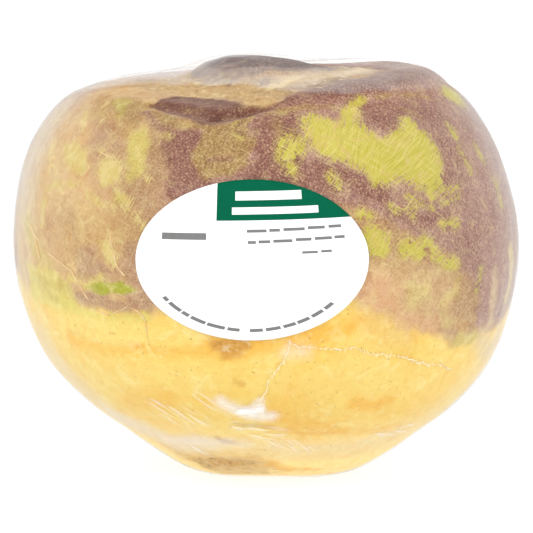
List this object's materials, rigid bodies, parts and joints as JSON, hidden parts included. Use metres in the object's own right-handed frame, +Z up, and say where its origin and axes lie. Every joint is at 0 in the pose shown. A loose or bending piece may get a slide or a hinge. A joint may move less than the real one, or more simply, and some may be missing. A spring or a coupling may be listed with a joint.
{
  "type": "film-wrapped rutabaga",
  "caption": "Round yellow and purple root with a dished crown and small flat foot, shrink-wrapped in clear film that carries an oval paper label.",
  "frame": {"origin": "on the standing surface, under the middle of the object's box", "axes": "+Z up through the crown, -Y towards the label, +X to the label's right"},
  "size_m": [0.1258, 0.1232, 0.1028],
  "materials": {
    "rutabaga_skin": "satin waxy skin, purple over yellow, with corky tan scars round the crown",
    "clear_film": "glossy clear shrink film with a faint white haze where it stands off the root",
    "label_paper": "smooth coated white paper with a plain green panel"
  },
  "bodies": {
    "root": {"root": "rutabaga_skin", "shrink_film": "clear_film", "paper_label": "label_paper"}
  },
  "joints": []
}
